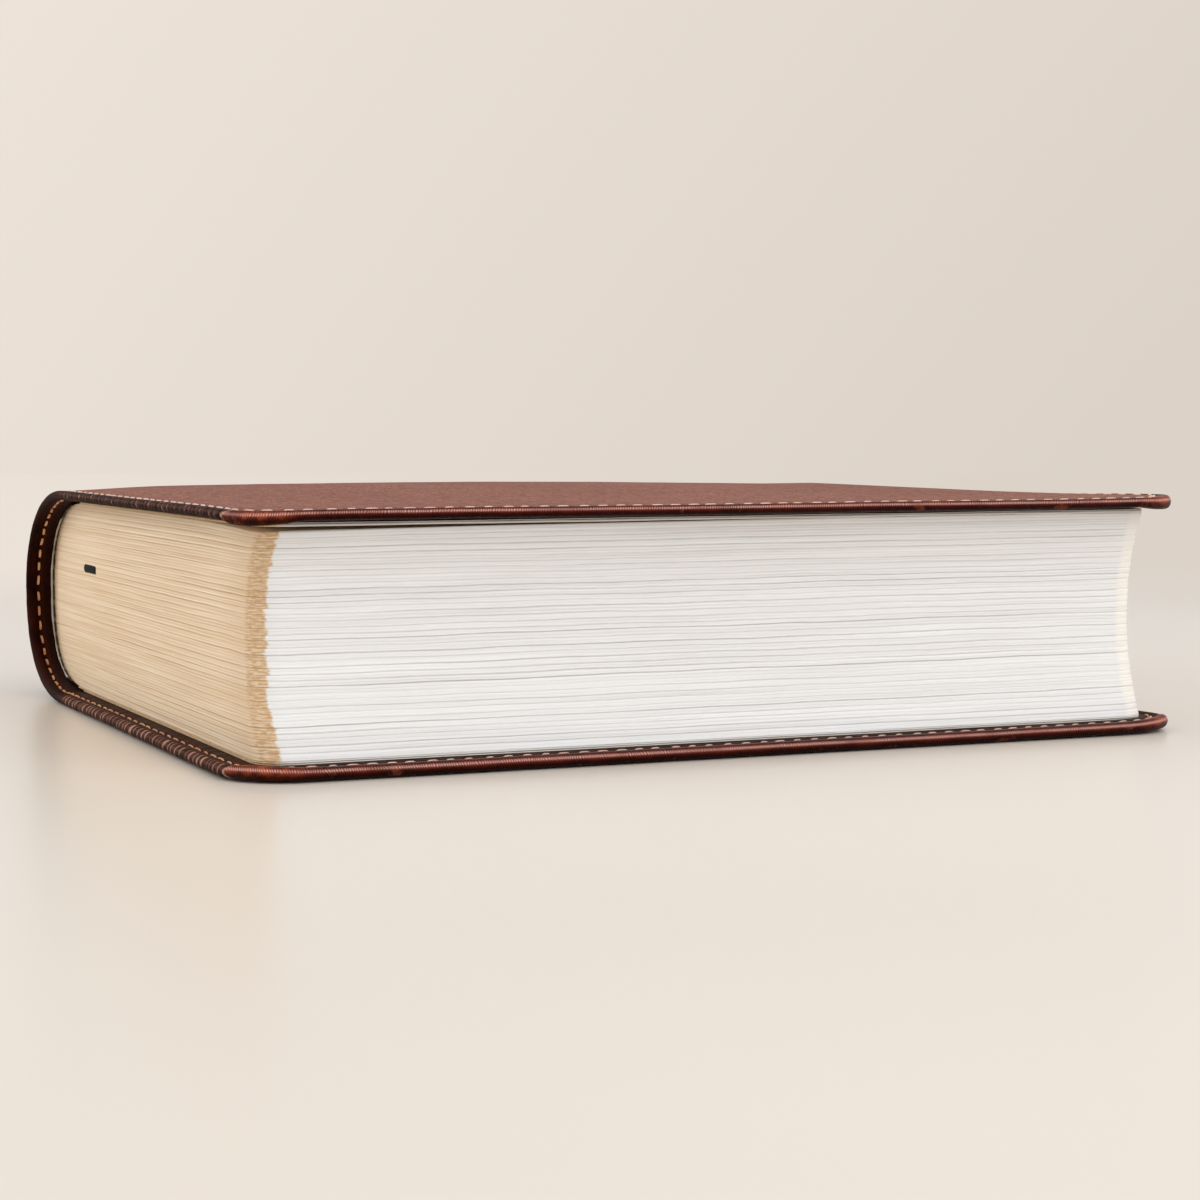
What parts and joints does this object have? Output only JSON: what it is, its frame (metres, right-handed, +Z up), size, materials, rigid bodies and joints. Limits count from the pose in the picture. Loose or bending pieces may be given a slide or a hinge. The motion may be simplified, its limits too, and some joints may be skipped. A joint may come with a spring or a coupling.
{
  "type": "journaling bible",
  "caption": "Thick leather-bound bible lying closed, with a rounded spine, stitched rolled cover edges and covers that open.",
  "frame": {"origin": "middle of the footprint of the closed book, on the surface that the back cover lies on", "axes": "+X from the spine to the fore edge, +Y from the tail to the head, +Z up from the back cover to the front cover"},
  "size_m": [0.1735, 0.193, 0.0462],
  "materials": {
    "pages": "cut edges of thin paper, cream at head and tail, white at the fore edge",
    "leaf": "smooth white paper",
    "liner": "light grey cloth and paper, glued",
    "band": "thread wrapped over a cord, dark and light",
    "ribbon": "dark grey satin ribbon",
    "leather": "red-brown pebbled leather with shiny rolled edges",
    "board": "thin grey-brown board",
    "lining": "smooth dark brown leather",
    "thread": "waxed light tan thread"
  },
  "bodies": {
    "text_block": {"page_block": "pages", "front_flyleaf": "leaf", "back_flyleaf": "leaf", "spine_liner": "liner", "head_band": "band", "tail_band": "band", "ribbon_marker": "ribbon", "spine_leather": "leather", "spine_inlay": "board", "spine_lining": "lining", "spine_stitching": "thread"},
    "front_cover": {"front_leather": "leather", "front_board": "board", "front_lining": "lining", "front_stitching": "thread"},
    "back_cover": {"back_leather": "leather", "back_board": "board", "back_lining": "lining", "back_stitching": "thread"}
  },
  "joints": [
    {"name": "front_cover_hinge", "type": "hinge", "parent": "text_block", "child": "front_cover", "pos_m": [-0.05135, 0, 0.0464], "axis": [0, -1, 0], "range_deg": [0, 180]},
    {"name": "back_cover_hinge", "type": "hinge", "parent": "text_block", "child": "back_cover", "pos_m": [-0.05135, 0, -0.0002], "axis": [0, 1, 0], "range_deg": [0, 180]}
  ]
}
